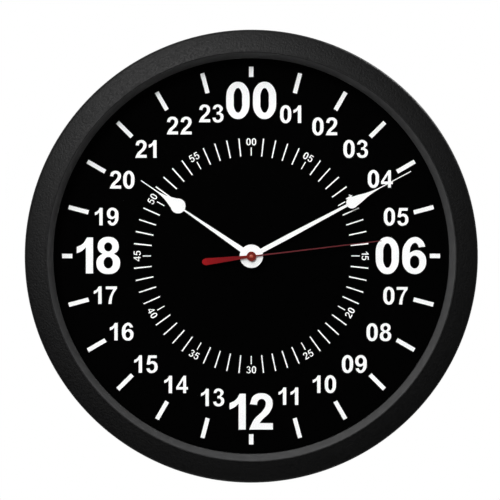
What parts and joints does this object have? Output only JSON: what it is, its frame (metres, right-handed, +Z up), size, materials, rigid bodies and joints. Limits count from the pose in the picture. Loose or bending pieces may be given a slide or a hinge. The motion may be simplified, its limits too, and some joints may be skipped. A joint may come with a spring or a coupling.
{
  "type": "twenty-four-hour wall clock",
  "caption": "Round battery wall clock with a deep black bezel, flat glass, a black twenty-four-hour dial, white spade hands and a red sweep hand, with its geared movement inside.",
  "frame": {"origin": "on the wall plane, behind the axis that the hands turn on", "axes": "+Z up towards the 00 mark, +Y into the wall, -Y towards the viewer, +X to the viewer's right"},
  "size_m": [0.254, 0.044, 0.254],
  "materials": {
    "case_black": "fine moulded grain, satin on the inner bevel",
    "lens_clear": "clear flat glass",
    "dial_black": "matt black with white printed marks",
    "screw_steel": "zinc-plated pan heads",
    "movement_black": "moulded black plastic",
    "brass": "turned brass",
    "gasket_rubber": "black rubber",
    "stator_iron": "soft iron sheet",
    "winding_copper": "enamelled copper wire",
    "magnet_dark": "sintered magnet on a plastic pinion",
    "board_green": "green circuit board",
    "contact_steel": "nickel-plated spring steel",
    "wheel_nylon": "natural nylon",
    "hand_white": "white painted aluminium",
    "hand_red": "dark red painted aluminium",
    "battery_wrap": "plain printed sleeve over a steel can"
  },
  "bodies": {
    "case": {"bezel_ring": "case_black", "lens": "lens_clear", "dial_spacer": "dial_black", "dial_plate": "dial_black", "dial_retainer": "case_black", "rear_cover": "case_black", "case_screw_1": "screw_steel", "case_screw_2": "screw_steel", "case_screw_3": "screw_steel", "case_screw_4": "screw_steel", "case_screw_5": "screw_steel", "case_screw_6": "screw_steel", "movement_housing": "movement_black", "movement_lid": "movement_black", "gear_bridge": "movement_black", "centre_bush": "brass", "dial_gasket": "gasket_rubber", "dial_washer": "brass", "dial_nut": "brass", "stator": "stator_iron", "coil_core": "stator_iron", "coil_bobbin": "movement_black", "coil_winding": "winding_copper", "circuit_board": "board_green", "clock_chip": "movement_black", "quartz_crystal": "contact_steel", "contact_positive": "contact_steel", "contact_negative": "contact_steel"},
    "seconds": {"seconds_wheel": "wheel_nylon", "second_hand": "hand_red", "second_hand_hub": "hand_red"},
    "fifth": {"fifth_wheel": "wheel_nylon"},
    "rotor": {"rotor": "magnet_dark"},
    "third": {"third_wheel": "wheel_nylon"},
    "centre": {"centre_wheel": "wheel_nylon"},
    "minutes": {"minute_tube": "brass", "minute_hand": "hand_white"},
    "setting": {"minute_wheel": "wheel_nylon", "setting_knob": "movement_black"},
    "hours": {"hour_wheel": "wheel_nylon", "hour_hand": "hand_white"},
    "battery": {"battery_cell": "battery_wrap"}
  },
  "joints": [
    {"name": "second_hand_turn", "type": "hinge", "parent": "case", "child": "seconds", "pos_m": [0, -0.015, 0], "axis": [0, 1, 0], "continuous": true},
    {"name": "fifth_wheel_turn", "type": "hinge", "parent": "case", "child": "fifth", "pos_m": [-0.00462, -0.015, 0.008], "axis": [0, 1, 0], "continuous": true},
    {"name": "rotor_turn", "type": "hinge", "parent": "case", "child": "rotor", "pos_m": [-0.01086, -0.015, 0.0116], "axis": [0, 1, 0], "continuous": true},
    {"name": "third_wheel_turn", "type": "hinge", "parent": "case", "child": "third", "pos_m": [-0.0123, -0.015, 0], "axis": [0, 1, 0], "continuous": true},
    {"name": "centre_wheel_turn", "type": "hinge", "parent": "case", "child": "centre", "pos_m": [0, -0.015, 0], "axis": [0, 1, 0], "continuous": true},
    {"name": "minute_hand_turn", "type": "hinge", "parent": "case", "child": "minutes", "pos_m": [0, -0.015, 0], "axis": [0, 1, 0], "continuous": true},
    {"name": "setting_knob_turn", "type": "hinge", "parent": "case", "child": "setting", "pos_m": [0.01032, -0.015, 0.00723], "axis": [0, 1, 0], "continuous": true},
    {"name": "hour_hand_turn", "type": "hinge", "parent": "case", "child": "hours", "pos_m": [0, -0.015, 0], "axis": [0, 1, 0], "continuous": true},
    {"name": "battery_slide", "type": "slide", "parent": "case", "child": "battery", "axis": [0, 1, 0], "range_m": [0, 0.02]}
  ],
  "couplings": [
    {"joint": "fifth_wheel_turn", "follows": "second_hand_turn", "ratio": -6},
    {"joint": "rotor_turn", "follows": "second_hand_turn", "ratio": 30},
    {"joint": "third_wheel_turn", "follows": "second_hand_turn", "ratio": -0.13333},
    {"joint": "centre_wheel_turn", "follows": "second_hand_turn", "ratio": 0.016667},
    {"joint": "setting_knob_turn", "follows": "minute_hand_turn", "ratio": -0.25},
    {"joint": "hour_hand_turn", "follows": "minute_hand_turn", "ratio": 0.041667}
  ]
}
